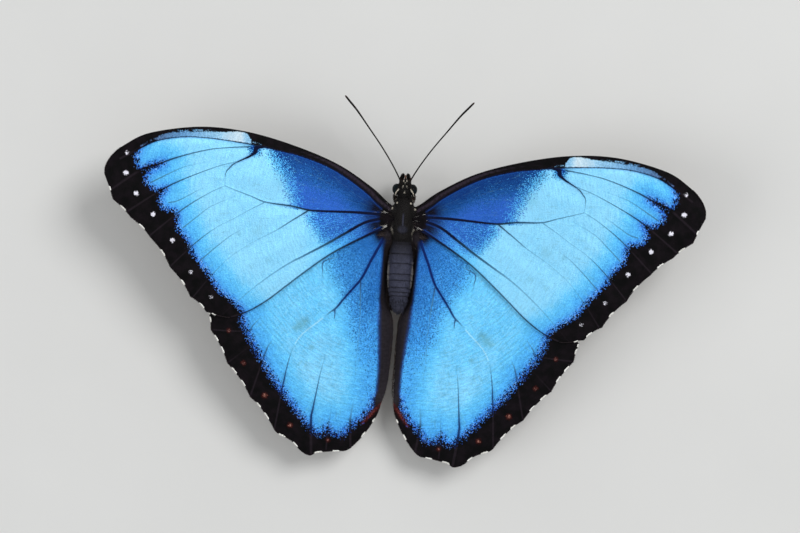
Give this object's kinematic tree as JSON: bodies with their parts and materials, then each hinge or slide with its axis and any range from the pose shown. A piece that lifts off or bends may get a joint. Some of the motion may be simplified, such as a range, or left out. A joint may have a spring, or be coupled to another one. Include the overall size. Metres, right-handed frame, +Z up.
{
  "type": "blue morpho butterfly",
  "caption": "Life-size blue morpho butterfly standing on its legs with wings spread nearly flat: bright blue with a black, white-spotted border.",
  "frame": {"origin": "middle of the footprint of the whole butterfly, on the floor that its feet stand on", "axes": "+Z up, head towards -Y, +X to the butterfly's own left"},
  "size_m": [0.128, 0.0786, 0.0171],
  "materials": {
    "wing": "iridescent blue scales with a black border above, brown with ringed eyespots below, satin",
    "wing_fringe": "short white and black scales along the wing edge, matt",
    "body_scales": "black body scales and fine hairs, matt",
    "abdomen_scales": "slate grey scales in rings, matt with a faint sheen",
    "body_hair": "fine dark hair tufts, matt",
    "eye": "dark brown compound eye, glossy with a fine facet grain",
    "palp_scales": "rusty brown scales with a pale stripe, matt",
    "antenna": "black, ringed, half matt",
    "proboscis": "orange-brown, half matt",
    "leg": "brown, finely scaled, matt",
    "claw": "dark horn, glossy"
  },
  "bodies": {
    "root": {"head": "body_scales", "thorax": "body_scales", "abdomen": "abdomen_scales", "proboscis": "proboscis", "eye_left": "eye", "palp_left": "palp_scales", "antenna_left": "antenna", "forewing_left": "wing", "hindwing_left": "wing", "leg_front_left": "leg", "leg_mid_left": "leg", "leg_hind_left": "leg", "eye_right": "eye", "palp_right": "palp_scales", "antenna_right": "antenna", "forewing_right": "wing", "hindwing_right": "wing", "leg_front_right": "leg", "leg_mid_right": "leg", "leg_hind_right": "leg"}
  },
  "joints": []
}
